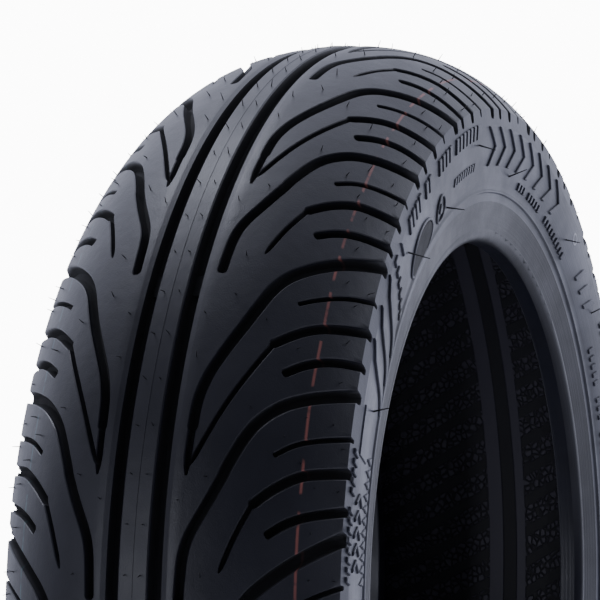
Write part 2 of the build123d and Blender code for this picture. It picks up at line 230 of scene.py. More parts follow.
class Shop:
    """Builds one material's nodes."""

    def __init__(self, name: str) -> None:
        """Starts a material with an empty principled shader.

        Args:
            name: The material's name.
        """
        self.material = bpy.data.materials.new(name)
        self.material.use_nodes = True
        self.tree = self.material.node_tree
        self.shader = self.tree.nodes["Principled BSDF"]
        self.place = self.node("ShaderNodeTexCoord").outputs["Object"]
        split = self.node("ShaderNodeSeparateXYZ", links={"Vector": self.place})
        self.x, self.y, self.z = (Value(self, split.outputs[axis]) for axis in "XYZ")

    def node(
        self,
        kind: str,
        settings: dict[str, object] | None = None,
        links: dict[str | int, object] | None = None,
    ) -> bpy.types.Node:
        """Adds any node.

        Args:
            kind: The node's type.
            settings: Its own settings, set first.
            links: What goes into its sockets: values, sockets or Values.

        Returns:
            The node.
        """
        made = self.tree.nodes.new(kind)
        for key, value in (settings or {}).items():
            setattr(made, key, value)
        for key, value in (links or {}).items():
            target = made.inputs[key]
            if isinstance(value, Value):
                self.tree.links.new(value.socket, target)
            elif isinstance(value, bpy.types.NodeSocket):
                self.tree.links.new(value, target)
            else:
                target.default_value = value
        return made

    def maths(self, operation: str, *operands: Value | float) -> Value:
        """Adds a Math node."""
        node = self.node("ShaderNodeMath", {"operation": operation}, dict(enumerate(operands)))
        return Value(self, node.outputs[0])

    def radius(self) -> Value:
        """Distance from the wheel axis."""
        return self.maths("SQRT", self.x * self.x + self.z * self.z)

    def angle(self) -> Value:
        """Angle round the wheel axis, in radians."""
        return self.maths("ARCTAN2", self.z, self.x)

    def noise(self, scale: float, detail: float = 3.0, stretch: Point | None = None) -> Value:
        """Noise over the surface.

        Args:
            scale: Features to a metre.
            detail: How many finer layers.
            stretch: Across and round factors for noise drawn out round the wheel.

        Returns:
            The noise, about 0 to 1.
        """
        vector: object = self.place
        if stretch:
            across, round_ = stretch
            turned = self.node(
                "ShaderNodeCombineXYZ",
                links={
                    "X": self.radius() * across,
                    "Y": self.y * across,
                    "Z": self.angle() * round_,
                },
            )
            vector = turned.outputs[0]
        node = self.node(
            "ShaderNodeTexNoise", links={"Vector": vector, "Scale": scale, "Detail": detail}
        )
        return Value(self, node.outputs["Fac"])

    def cells(self, scale: float, feature: str = "F1", vector: object = None) -> Value:
        """Distance to the nearest point of a scatter of cells."""
        node = self.node(
            "ShaderNodeTexVoronoi",
            {"feature": feature},
            {"Vector": vector or self.place, "Scale": scale},
        )
        return Value(self, node.outputs["Distance"])

    def blend(self, mask: Value | float, first: object, second: object) -> bpy.types.NodeSocket:
        """Mixes two colours.

        Args:
            mask: The second colour's share.
            first: A colour or a colour socket.
            second: A colour or a colour socket.

        Returns:
            The mixed colour.
        """
        node = self.node("ShaderNodeMix", {"data_type": "RGBA"})
        for index, value in ((6, first), (7, second)):
            if isinstance(value, bpy.types.NodeSocket):
                self.tree.links.new(value, node.inputs[index])
            else:
                node.inputs[index].default_value = (*value, 1)
        if isinstance(mask, Value):
            self.tree.links.new(mask.socket, node.inputs[0])
        else:
            node.inputs[0].default_value = mask
        return node.outputs[2]

    def finish(
        self,
        colour: object,
        roughness: Value | float,
        relief: Sequence[tuple[Value, float]] = (),
        **fixed: float,
    ) -> bpy.types.Material:
        """Connects what the surface is.

        Args:
            colour: A colour or a colour socket.
            roughness: A number or a Value.
            relief: Heights, each with the distance in metres that it stands for.
            fixed: Numbers for other sockets, with _ for a space in their names.

        Returns:
            The material.
        """
        if isinstance(colour, bpy.types.NodeSocket):
            self.tree.links.new(colour, self.shader.inputs["Base Color"])
        else:
            self.shader.inputs["Base Color"].default_value = (*colour, 1)
        if isinstance(roughness, Value):
            self.tree.links.new(roughness.socket, self.shader.inputs["Roughness"])
        else:
            self.shader.inputs["Roughness"].default_value = roughness
        for key, value in fixed.items():
            self.shader.inputs[key.replace("_", " ")].default_value = value
        normal = None
        for height, distance in relief:
            links: dict[str | int, object] = {"Height": height, "Distance": distance}
            links["Strength"] = 1.0
            if normal:
                links["Normal"] = normal
            normal = self.node("ShaderNodeBump", links=links).outputs["Normal"]
        if normal:
            self.tree.links.new(normal, self.shader.inputs["Normal"])
        return self.material


Colour = tuple[float, float, float]


@dataclass(frozen=True)
class TreadRubber:
    """New tread rubber: blue-black, patchy with mould release, with thin paint lines and painted
    shade in the grooves.
    """

    dark: Colour = (0.0042, 0.0046, 0.0080)
    light: Colour = (0.0100, 0.0108, 0.0175)
    shoulder: Colour = (0.040, 0.043, 0.060)
    # Painted shade: the near-black colour that the grooves darken to with depth, standing in for
    # the shade inside them.
    groove: Colour = (0.0016, 0.0016, 0.0021)
    pink: Colour = (0.42, 0.13, 0.10)
    teal: Colour = (0.03, 0.10, 0.11)
    face: float = 0.0668
    pink_line: float = 0.0549
    teal_line: float = 0.0525
    line_half: float = 0.00038

    @staticmethod
    def depth(shop: Shop) -> Value:
        """Depth below the crown's two arcs, in metres."""
        across, radius = abs(shop.y), shop.radius()

        def inside(centre: Vector, size: float) -> Value:
            """Depth inside one arc."""
            u, v = across - centre.x * MM, radius - centre.y * MM
            return size * MM - shop.maths("SQRT", u * u + v * v)

        crown = Crown()
        middle = inside(crown.middle_centre, crown.middle_radius)
        shoulder = inside(crown.shoulder_centre, crown.shoulder_radius)
        outer = across.maths("GREATER_THAN", crown.joint.x * MM)
        return middle * (1 - outer) + shoulder * outer

    def material(self) -> bpy.types.Material:
        """Makes the finish."""
        shop = Shop("tread_rubber")
        patches = shop.noise(9.0, 4.0).ramp(0.35, 0.7)
        clouds = shop.noise(60.0, 5.0)
        streaks = shop.noise(1.0, 4.0, stretch=(160.0, 3.0))
        colour = shop.blend(patches * 0.5 + clouds * 0.35 + streaks * 0.3, self.dark, self.light)
        side = abs(shop.y).ramp(self.face, self.face + 0.0003)
        colour = shop.blend(side * (0.55 + clouds * 0.6), colour, self.shoulder)
        breaks = shop.noise(1.0, 2.0, stretch=(40.0, 26.0)).ramp(0.42, 0.5)
        wander = (shop.noise(1.0, 1.0, stretch=(1.0, 5.0)) - 0.5) * 0.0012
        pink = (0 - shop.y + wander).band(
            self.pink_line - self.line_half, self.pink_line + self.line_half, 0.00025
        )
        colour = shop.blend(pink * breaks * (0.2 + clouds * 0.6), colour, self.pink)
        teal = (shop.y + wander).band(
            self.teal_line - self.line_half, self.teal_line + self.line_half, 0.0003
        )
        colour = shop.blend(teal * breaks * 0.5, colour, self.teal)
        # Painted shade: the tread darkens with depth below the crown, so groove walls and floors
        # look shaded; the same depth mask also makes them rougher.
        groove = self.depth(shop).ramp(0.0004, 0.0026) * (1 - side)
        colour = shop.blend(groove * 0.9, colour, self.groove)
        roughness = 0.30 + patches * 0.1 + clouds * 0.16 + groove * 0.45
        grain = shop.noise(1800.0, 2.0)
        ripple = shop.noise(210.0, 3.0)
        return shop.finish(
            colour, roughness, [(grain, 0.00006), (ripple, 0.00012)], Specular_IOR_Level=0.5
        )


@dataclass(frozen=True)
class SidewallRubber:
    """Sidewall rubber: satin, greyer than the tread, with a pale bloom in blotches."""

    name: str = "sidewall_rubber"
    dark: Colour = (0.024, 0.0255, 0.035)
    light: Colour = (0.056, 0.060, 0.081)
    rough: float = 0.36
    shine: float = 0.5

    def material(self) -> bpy.types.Material:
        """Makes the finish."""
        shop = Shop(self.name)
        bloom = shop.noise(26.0, 5.0).ramp(0.36, 0.66)
        fine = shop.noise(190.0, 4.0)
        rings = shop.noise(1.0, 2.0, stretch=(900.0, 2.0))
        colour = shop.blend(bloom * 0.65 + fine * 0.35, self.dark, self.light)
        roughness = self.rough + fine * 0.14 - bloom * 0.08
        grain = shop.noise(1500.0, 2.0)
        return shop.finish(
            colour, roughness, [(grain, 0.00005), (rings, 0.00008)], Specular_IOR_Level=self.shine
        )


@dataclass(frozen=True)
class LinerRubber:
    """Inner liner: nearly black, pebbled by the curing bladder between slanting vent bands."""

    dark: Colour = (0.0030, 0.0028, 0.0045)
    light: Colour = (0.024, 0.022, 0.032)
    bare: Colour = (0.028, 0.026, 0.037)
    strips: float = 88.0
    slant: float = 218.0

    def material(self) -> bpy.types.Material:
        """Makes the finish."""
        shop = Shop("liner_rubber")
        turn = shop.angle()
        slant = shop.maths("SINE", turn * self.strips + shop.y * self.slant)
        bands = shop.y.band(0.0036, 0.0112, 0.0004) + shop.y.band(-0.0088, -0.0036, 0.0004)
        field = slant.ramp(-0.55, -0.25) * (1 - shop.y.band(-0.0088, 0.0112, 0.0003))
        sheet = shop.node(
            "ShaderNodeCombineXYZ",
            links={"X": turn * 0.21, "Y": shop.y * 1.15, "Z": shop.radius() * 0.5},
        )
        cells = shop.cells(300.0, "DISTANCE_TO_EDGE", sheet.outputs[0])
        pebbles = cells.ramp(0.03, 0.22) * field
        colour = shop.blend(pebbles, self.dark, self.light)
        colour = shop.blend(bands, colour, self.bare)
        roughness = 0.66 - pebbles * 0.14 - bands * 0.1
        grain = shop.noise(900.0, 3.0)
        relief = [(pebbles + bands, 0.00035), (grain, 0.00005)]
        return shop.finish(colour, roughness, relief, Specular_IOR_Level=0.35)


@dataclass(frozen=True)
class HiddenRubber:
    """A plain rubber of an inner layer, with milled streaks."""

    name: str
    dark: Colour
    light: Colour

    def material(self) -> bpy.types.Material:
        """Makes the finish."""
        shop = Shop(self.name)
        streaks = shop.noise(1.0, 4.0, stretch=(220.0, 5.0))
        specks = shop.noise(700.0, 2.0)
        colour = shop.blend(streaks * 0.7 + specks * 0.3, self.dark, self.light)
        return shop.finish(
            colour, 0.5 + specks * 0.25, [(specks, 0.00008)], Specular_IOR_Level=0.4
        )


class Weave(Enum):
    """How the threads of a fabric layer lie."""

    CORD = "cord"
    SQUARE = "square"


@dataclass(frozen=True)
class CordFabric:
    """Rubber-coated fabric, whose threads show as ribs."""

    name: str
    weave: Weave
    thread: Colour
    rubber: Colour
    ribs: float = 900.0

    def material(self) -> bpy.types.Material:
        """Makes the finish."""
        shop = Shop(self.name)
        round_ = shop.angle() * self.ribs
        across = shop.y * (self.ribs / 0.2)
        first = shop.maths("SINE", round_ + across * 0.3).ramp(-0.6, 0.8)
        if self.weave is Weave.SQUARE:
            second = shop.maths("SINE", across + shop.radius() * 4000.0).ramp(-0.6, 0.8)
            ribs = first.maths("MAXIMUM", second)
        else:
            ribs = first
        fuzz = shop.noise(1200.0, 2.0)
        colour = shop.blend(ribs * (0.6 + fuzz * 0.4), self.rubber, self.thread)
        return shop.finish(colour, 0.62 + fuzz * 0.2, [(ribs, 0.00015)], Specular_IOR_Level=0.3)


@dataclass(frozen=True)
class BronzedWire:
    """Steel wire with a thin bronze coat, drawn along its length."""

    coat: Colour = (0.42, 0.27, 0.13)
    bare: Colour = (0.36, 0.34, 0.31)

    def material(self) -> bpy.types.Material:
        """Makes the finish."""
        shop = Shop("bead_wire")
        drawn = shop.noise(1.0, 4.0, stretch=(2400.0, 6.0))
        worn = shop.noise(420.0, 3.0).ramp(0.5, 0.75)
        colour = shop.blend(worn, self.coat, self.bare)
        return shop.finish(colour, 0.28 + drawn * 0.25, [(drawn, 0.00003)], Metallic=1.0)


@dataclass(frozen=True)
class Finishes:
    """Every finish of the tyre, made once."""

    tread: bpy.types.Material
    sidewall: bpy.types.Material
    rim: bpy.types.Material
    badge: bpy.types.Material
    hair: bpy.types.Material
    paint: bpy.types.Material
    liner: bpy.types.Material
    base: bpy.types.Material
    filler: bpy.types.Material
    cord: bpy.types.Material
    chafer: bpy.types.Material
    wire: bpy.types.Material

    @classmethod
    def make(cls) -> "Finishes":
        """Makes all of them."""
        return cls(
            tread=TreadRubber().material(),
            sidewall=SidewallRubber().material(),
            rim=SidewallRubber(
                "rim_rubber", (0.006, 0.0064, 0.0100), (0.013, 0.0138, 0.0205), 0.33, 0.26
            ).material(),
            # Painted shade: the badge is near-black, standing in for the shade inside the deep
            # recessed oval of the sidewall.
            badge=SidewallRubber(
                "badge_rubber", (0.0012, 0.0012, 0.0018), (0.003, 0.003, 0.004), 0.5, 0.1
            ).material(),
            hair=HiddenRubber(
                "hair_rubber", (0.002, 0.002, 0.003), (0.010, 0.010, 0.013)
            ).material(),
            paint=HiddenRubber("balance_paint", (0.30, 0.31, 0.34), (0.62, 0.62, 0.64)).material(),
            liner=LinerRubber().material(),
            base=HiddenRubber("base_rubber", (0.012, 0.012, 0.013), (0.03, 0.03, 0.031)).material(),
            filler=HiddenRubber(
                "filler_rubber", (0.018, 0.016, 0.015), (0.042, 0.039, 0.036)
            ).material(),
            cord=CordFabric(
                "cord_fabric", Weave.CORD, (0.23, 0.20, 0.15), (0.035, 0.032, 0.028)
            ).material(),
            chafer=CordFabric(
                "woven_chafer", Weave.SQUARE, (0.13, 0.13, 0.13), (0.03, 0.03, 0.03), 1400.0
            ).material(),
            wire=BronzedWire().material(),
        )


# ---------------------------------------------------------------- the tyre's surfaces
def direction(angle: float) -> Vector:
    """Outward direction at an angle from straight up, as (across, from the axis)."""
    return Vector((math.sin(math.radians(angle)), math.cos(math.radians(angle))))


def around(across: float, radius: float, turn: float) -> Vector:
    """A point of the tyre in metres.

    Args:
        across: Offset along the axis in mm.
        radius: Distance from the axis in mm.
        turn: Angle from -X towards +Z, in radians.

    Returns:
        The point.
    """
    return Vector((-radius * math.cos(turn), across, radius * math.sin(turn))) * MM


@dataclass
class Crown:
    """The tread's outer surface in cross-section: a middle arc and a shoulder arc."""

    radius: float = 240.0
    middle_radius: float = 117.0
    middle_angle: float = 12.0
    edge: Point = (67.0, 209.5)
    seam: Point = (67.4, 202.5)
    blend_length: float = 12.0
    joint: Vector = field(init=False)
    middle_centre: Vector = field(init=False)
    shoulder_centre: Vector = field(init=False)
    shoulder_radius: float = field(init=False)
    joint_distance: float = field(init=False)
    edge_distance: float = field(init=False)
    face_angle: float = field(init=False)

    def __post_init__(self) -> None:
        """Works out the shoulder arc, which is tangent to the middle arc."""
        self.middle_centre = Vector((0.0, self.radius - self.middle_radius))
        out = direction(self.middle_angle)
        self.joint = self.middle_centre + out * self.middle_radius
        reach = Vector(self.edge) - self.joint
        self.shoulder_radius = -reach.length_squared / (2 * reach.dot(out))
        self.shoulder_centre = self.joint - out * self.shoulder_radius
        end = Vector(self.edge) - self.shoulder_centre
        edge_angle = math.degrees(math.atan2(end.x, end.y))
        self.joint_distance = self.middle_radius * math.radians(self.middle_angle)
        self.edge_distance = self.joint_distance + self.shoulder_radius * math.radians(
            edge_angle - self.middle_angle
        )
        drop = Vector(self.edge) - Vector(self.seam)
        self.face_angle = math.degrees(math.atan2(drop.x, drop.y))

    def place(self, distance: float, depth: float) -> tuple[Vector, float]:
        """Finds a point of the tread.

        Args:
            distance: Over the surface from the middle, in mm.
            depth: Below the surface, in mm.

        Returns:
            The point as (across, from the axis), and the surface's angle in degrees.
        """
        if distance <= self.joint_distance:
            angle = math.degrees(distance / self.middle_radius)
            point = self.middle_centre + direction(angle) * self.middle_radius
        else:
            angle = self.middle_angle + math.degrees(
                (distance - self.joint_distance) / self.shoulder_radius
            )
            point = self.shoulder_centre + direction(angle) * self.shoulder_radius
        share = (distance - self.edge_distance + self.blend_length) / self.blend_length
        share = min(max(share, 0.0), 1.0)
        down = angle + (self.face_angle - angle) * share * share
        return point - direction(down) * depth, angle

    def local_radius(self, distance: float) -> float:
        """Distance from the axis to the surface."""
        return self.place(distance, 0.0)[0].y


class Start(Enum):
    """How a groove begins."""

    ROUND = "round"
    POINTED = "pointed"


@dataclass(frozen=True)
class Groove:
    """A groove of the side pattern.

    A point of its line is (share of a pitch, distance from the middle).
    """

    line: tuple[Point, ...]
    widths: tuple[float, float]
    depth: float = 4.5
    start: Start = Start.ROUND

    def smooth_line(self, steps: int) -> list[Point]:
        """Runs a smooth curve through the line's points."""
        points = [Vector(p) for p in self.line]
        ends = [points[0] * 2 - points[1]] + points + [points[-1] * 2 - points[-2]]
        made = []
        for before, first, last, after in zip(ends, ends[1:], ends[2:], ends[3:]):
            for step in range(steps):
                t = step / steps
                made.append(
                    0.5
                    * (
                        2 * first
                        + (last - before) * t
                        + (2 * before - 5 * first + 4 * last - after) * t * t
                        + (3 * first - before - 3 * last + after) * t**3
                    )
                )
        return [tuple(p) for p in made] + [self.line[-1]]


@dataclass
class Tread:
    """The tread: one flat pitch of half the width is cut, then wrapped and repeated."""

    crown: Crown
    pitches: int = 12
    first_tip: float = 16.5
    thickness: float = 7.3
    clear: float = 1.0
    lip: float = 0.35
    step: float = 4.2
    wall_break: Point = (0.75, 0.86)
    floor_share: float = 0.52
    round_nose: tuple[Point, ...] = ((0.0, 0.42), (0.13, 0.75), (0.32, 0.95), (0.55, 1.0))
    pointed_nose: tuple[Point, ...] = ((0.0, 0.3), (1.2, 0.75), (2.6, 1.0))
    nose_gap: float = 0.6
    weld: float = 0.012
    grooves: tuple[Groove, ...] = (
        Groove(((0.0, 17.5), (0.07, 17.6), (0.14, 17.9)), (2.5, 2.7), 3.5, Start.POINTED),
        Groove(
            ((0.13, 17.9), (0.225, 18.6), (0.30, 20.9), (0.37, 24.6), (0.468, 30.4), (0.535, 34.0),
             (0.605, 37.8), (0.66, 42.5), (0.705, 48.6), (0.75, 56.0), (0.788, 63.4), (0.832, 72.9),
             (0.862, 80.0)),
            (3.7, 5.4),
        ),
        Groove(
            ((-0.36, 17.4), (-0.29, 17.8), (-0.2245, 18.5), (-0.166, 20.5), (-0.079, 25.9),
             (0.0, 30.5), (0.035, 32.1), (0.123, 37.1), (0.18, 41.8), (0.235, 49.3),
             (0.273, 58.0), (0.30, 66.0), (0.345, 80.0)),
            (3.6, 4.8),
        ),
        Groove(((0.03, 18.5), (0.22, 28.9), (0.42, 41.8)), (1.8, 2.0), 3.2, Start.POINTED),
        Groove(((0.42, 41.2), (0.48, 50.6), (0.515, 58.0), (0.54, 66.0), (0.58, 80.0)), (3.6, 4.1)),
        Groove(((-0.273, 31.6), (-0.17, 36.4), (-0.075, 41.8)), (1.8, 2.0), 3.2, Start.POINTED),
        Groove(
            ((-0.078, 41.2), (-0.02, 49.3), (0.025, 58.0), (0.045, 66.0), (0.072, 80.0)), (3.6, 4.1)
        ),
        Groove(((0.079, 47.9), (0.124, 56.0), (0.155, 66.0), (0.19, 80.0)), (1.8, 2.0), 3.2),
        Groove(((0.577, 47.9), (0.615, 55.3), (0.66, 66.0), (0.703, 80.0)), (1.8, 2.0), 3.2),
        Groove(((0.335, 47.2), (0.385, 56.0), (0.42, 66.0), (0.447, 80.0)), (3.3, 3.6)),
        Groove(((-0.162, 47.2), (-0.12, 54.7), (-0.09, 63.4), (-0.055, 80.0)), (3.3, 3.6)),
    )
    main_groove: tuple[Point, ...] = (
        (5.3, 1.0), (5.3, 0.0), (5.8, -0.5), (6.3, -5.2), (7.1, -6.0),
        (9.9, -6.0), (10.7, -5.2), (11.0, -0.7), (13.3, 0.02), (13.3, 1.0),
    )

    @property
    def pitch(self) -> float:
        """Length of one pitch round the middle of the tread."""
        return 2 * math.pi * self.crown.radius / self.pitches

    def cutter(self, groove: Groove, shift: int) -> bpy.types.Object:
        """Makes the solid that cuts one groove.

        Args:
            groove: The groove.
            shift: How many pitches further on.

        Returns:
            A closed mesh, in flat mm: round, distance, height.
        """
        line = groove.smooth_line(4)
        lengths = [0.0]
        flat = [Vector(((share + shift) * self.pitch, distance)) for share, distance in line]
        crown = self.crown
        radii = [crown.local_radius(min(p.y, crown.edge_distance)) for p in flat]
        shrink = [radius / crown.radius for radius in radii]
        for a, b in zip(flat, flat[1:]):
            lengths.append(lengths[-1] + (b - a).length)
        total = lengths[-1]
        pointed = groove.start is Start.POINTED
        rounding = self.pointed_nose if pointed else self.round_nose
        width = groove.widths[0]
        stations = [(reach * width, share) for reach, share in rounding]
        nose = rounding[-1][0] * width
        stations += [(s, 1.0) for s in lengths if s > nose + self.nose_gap]
        rows = []
        for at, share in stations:
            index = max(i for i, s in enumerate(lengths) if s <= at + 1e-9)
            index = min(index, len(flat) - 2)
            span = lengths[index + 1] - lengths[index]
            t = (at - lengths[index]) / span
            point = flat[index].lerp(flat[index + 1], t)
            k = shrink[index] + (shrink[index + 1] - shrink[index]) * t
            before, after = flat[max(index - 1, 0)], flat[min(index + 2, len(flat) - 1)]
            along = (flat[index + 1] - flat[index]) * 0.5 + (after - before) * 0.25
            along = Vector((along.x * k, along.y)).normalized()
            local = groove.widths[0] + (groove.widths[1] - groove.widths[0]) * at / total
            half = local / 2 * share
            rows.append((point, Vector((-along.y / k, along.x)) * half))
        count = len(rows)
        obj = primitive("grid", "cutter", x_subdivisions=count - 1, y_subdivisions=1, size=1.0)
        half_width = sum(groove.widths) / 4
        mouth = (half_width + self.lip) / half_width
        levels = (
            (self.clear, mouth),
            (0.0, mouth),
            (-self.lip, 1.0),
            (-groove.depth * self.wall_break[0], self.wall_break[1]),
            (-groove.depth, self.floor_share),
        )
        with editing(obj) as mesh:
            layers = [mesh.verts.layers.float.new(n) for n in ("cx", "cy", "ox", "oy")]
            for vertex in mesh.verts:
                row = round((vertex.co.x + 0.5) * (count - 1))
                side = 1 if vertex.co.y > 0 else -1
                centre, offset = rows[row]
                for layer, value in zip(layers, (*centre, *(offset * side))):
                    vertex[layer] = value
            self.spread(mesh, levels[0])
            for level in levels[1:]:
                bmesh.update_edit_mesh(obj.data)
                bpy.ops.mesh.extrude_region_move(TRANSFORM_OT_translate={"value": (0, 0, -0.1)})
                mesh = bmesh.from_edit_mesh(obj.data)
                self.spread(mesh, level)
            bmesh.update_edit_mesh(obj.data)
            bpy.ops.mesh.select_all(action="SELECT")
            bpy.ops.mesh.normals_make_consistent(inside=False)
        return obj

    @staticmethod
    def spread(mesh: bmesh.types.BMesh, level: Point) -> None:
        """Sets the selected points of a cutter to a height and a share of its width."""
        layers = [mesh.verts.layers.float[n] for n in ("cx", "cy", "ox", "oy")]
        height, share = level
        for vertex in mesh.verts:
            if vertex.select:
                cx, cy, ox, oy = (vertex[layer] for layer in layers)
                vertex.co = (cx + ox * share, cy + oy * share, height)

    def main_cutter(self) -> bpy.types.Object:
        """Makes the solid that cuts the long central groove."""
        obj = primitive(
            "circle", "cutter", vertices=len(self.main_groove), radius=1.0, fill_type="NGON"
        )
        start = -self.pitch
        for vertex, (distance, height) in zip(obj.data.vertices, self.main_groove):
            vertex.co = (start, distance, height)
        with editing(obj):
            bpy.ops.mesh.extrude_region_move(
                TRANSFORM_OT_translate={"value": (3 * self.pitch, 0, 0)}
            )
            bpy.ops.mesh.select_all(action="SELECT")
            bpy.ops.mesh.normals_make_consistent(inside=False)
        return obj

    def flat_pitch(self) -> bpy.types.Object:
        """Cuts one flat pitch of half the tread, open at its two ends."""
        edge = self.crown.edge_distance
        block = primitive("cube", "pitch", size=1.0)
        middle = Vector((self.pitch / 2, edge / 2, -self.thickness / 2))
        size = Vector((self.pitch * 1.5, edge, self.thickness))
        move_points(block, lambda p: middle + p * size)
        cutters = [self.main_cutter()]
        for groove in self.grooves:
            for shift in (0, 1):
                cutters.append(self.cutter(groove, shift))
        knife = join(cutters, "cutters")
        apply_modifier(
            block, "BOOLEAN", object=knife, operation="DIFFERENCE", solver="EXACT", use_self=True
        )
        bpy.data.objects.remove(knife)
        rounds = round(self.pitch / self.step)
        across = round(edge / self.step)
        cuts = [(Vector((self.pitch * i / rounds, 0, 0)), (1, 0, 0)) for i in range(1, rounds)]
        cuts += [(Vector((0, edge * i / across, 0)), (0, 1, 0)) for i in range(1, across)]
        with editing(block):
            bpy.ops.mesh.bisect(plane_co=(0, 0, 0), plane_no=(-1, 0, 0), clear_outer=True)
            bpy.ops.mesh.select_all(action="SELECT")
            bpy.ops.mesh.bisect(plane_co=(self.pitch, 0, 0), plane_no=(1, 0, 0), clear_outer=True)
            for place, normal in cuts:
                bpy.ops.mesh.select_all(action="SELECT")
                bpy.ops.mesh.bisect(plane_co=place, plane_no=normal)
        return block

    def build(self, finishes: Finishes) -> None:
        """Wraps the pitch round the crown on both sides and dresses both halves."""
        flat = self.flat_pitch()
        log.info("flat pitch: %d faces", len(flat.data.polygons))
        for side, sign in (("left", 1), ("right", -1)):
            copies = []
            for number in range(self.pitches):
                copy = twin(flat)
                move_points(copy, lambda p: self.wrap(p, number, sign))
                copies.append(copy)
            half = join(copies, f"tread_{side}")
            close_up(half, self.weld * MM)
            smooth(half, 32.0)
            register(half, finishes.tread, ["tread"])
        bpy.data.objects.remove(flat)

    def wrap(self, point: Vector, number: int, sign: int) -> Vector:
        """Takes a point of the flat pitch to its place round the tyre."""
        place, _ = self.crown.place(point.y, -point.z)
        turn = math.radians(self.first_tip + 360.0 / self.pitches * (number + point.x / self.pitch))
        return around(sign * place.x, place.y, turn)


@dataclass
class Sidewall:
    """One sidewall, from the tread's seam down to the rim strip, with its rim line."""

    crown: Crown
    middle: Point = (66.4, 190.0)
    foot: Point = (62.6, 175.0)
    segments: int = 288
    rim_line: tuple[Point, ...] = (
        (62.75, 174.6), (63.15, 174.3), (63.3, 173.9), (63.2, 173.5), (62.3, 173.1), (62.1, 172.6),
        (61.9, 169.6),
    )
    inside: tuple[Point, ...] = ((58.4, 166.9), (58.4, 170.0), (58.7, 172.9), (60.3, 176.5),
                                 (61.7, 181.8), (62.2, 187.2), (61.7, 192.7), (60.3, 198.0),
                                 (59.6, 203.0), (58.6, 208.4))
    centre: Vector = field(init=False)
    radius: float = field(init=False)

    def __post_init__(self) -> None:
        """Finds the circle of the outer surface from its three points."""
        (ax, ay), (bx, by), (cx, cy) = self.crown.seam, self.middle, self.foot
        d = 2 * (ax * (by - cy) + bx * (cy - ay) + cx * (ay - by))
        a2, b2, c2 = ax**2 + ay**2, bx**2 + by**2, cx**2 + cy**2
        self.centre = Vector(
            (
                (a2 * (by - cy) + b2 * (cy - ay) + c2 * (ay - by)) / d,
                (a2 * (cx - bx) + b2 * (ax - cx) + c2 * (bx - ax)) / d,
            )
        )
        self.radius = (Vector(self.middle) - self.centre).length

    def surface(self, radius: float, height: float) -> Vector:
        """A point over the outer surface.

        Args:
            radius: Distance from the wheel axis, in mm.
            height: Above the surface, in mm.

        Returns:
            The point as (across, from the axis).
        """
        rise = radius - self.centre.y
        across = self.centre.x + math.sqrt(self.radius**2 - rise**2)
        out = (Vector((across, radius)) - self.centre).normalized()
        return Vector((across, radius)) + out * height

    def build(self, side: str, sign: int, finishes: Finishes) -> None:
        """Spins the cross-section round the axis and dresses it."""
        top, bottom, count = self.crown.seam[1], self.foot[1], 12
        outer = [self.surface(top + (bottom - top) * i / count, 0.0) for i in range(count + 1)]
        profile = [tuple(p) for p in outer] + list(self.rim_line) + list(self.inside)
        wall = spun(f"sidewall_{side}", profile, sign, self.segments)
        smooth(wall, 40.0)
        register(wall, finishes.sidewall, [f"sidewall_{side}"])


def spun(name: str, profile: Sequence[Point], sign: int, segments: int) -> bpy.types.Object:
    """Spins a closed cross-section round the wheel axis.

    Args:
        name: The piece's name.
        profile: Its corners as (across, from the axis), in mm.
        sign: 1 for the left side and -1 for the right.
        segments: Steps round the axis.

    Returns:
        The ring.
    """
    ring = primitive("circle", name, vertices=len(profile), radius=1.0, fill_type="NOTHING")
    for vertex, (across, radius) in zip(ring.data.vertices, profile):
        vertex.co = around(sign * across, radius, 0.0)
    with editing(ring):
        bpy.ops.mesh.spin(
            steps=segments, angle=2 * math.pi, center=(0, 0, 0), axis=(0, 1, 0), use_auto_merge=True
        )
    close_up(ring, 0.01 * MM)
    return ring


class Mark(Enum):
    """Outlines of the moulded marks, all abstract, between -1 and 1. Rounds have no corners."""

    TILE = ((-1, -1), (1, -1), (1, 1), (-1, 1))
    CHEVRON = ((-1, -1), (-0.45, -1), (1, 0), (-0.45, 1), (-1, 1), (0.45, 0))
    WEDGE = ((-1, -1), (1, -1), (-0.6, 1))
    BLADE = (
        (-1, -1), (-0.35, -1), (0.1, -0.6), (0.3, -0.1), (0.45, 0.4), (1, 1),
        (0.1, 0.7), (-0.3, 0.3), (-0.6, -0.3),
    )
    OVAL = ()
    RING = (0,)


@dataclass(frozen=True)
class MarkRow:
    """A row of equal moulded marks. They move on by spacing in degrees and climb in mm."""

    mark: Mark
    first: float
    spacing: float
    radius: float
    count: int
    width: float
    height: float
    slant: float = 0.0
    skip: tuple[int, ...] = ()
    climb: float = 0.0
    rise: float = 0.8


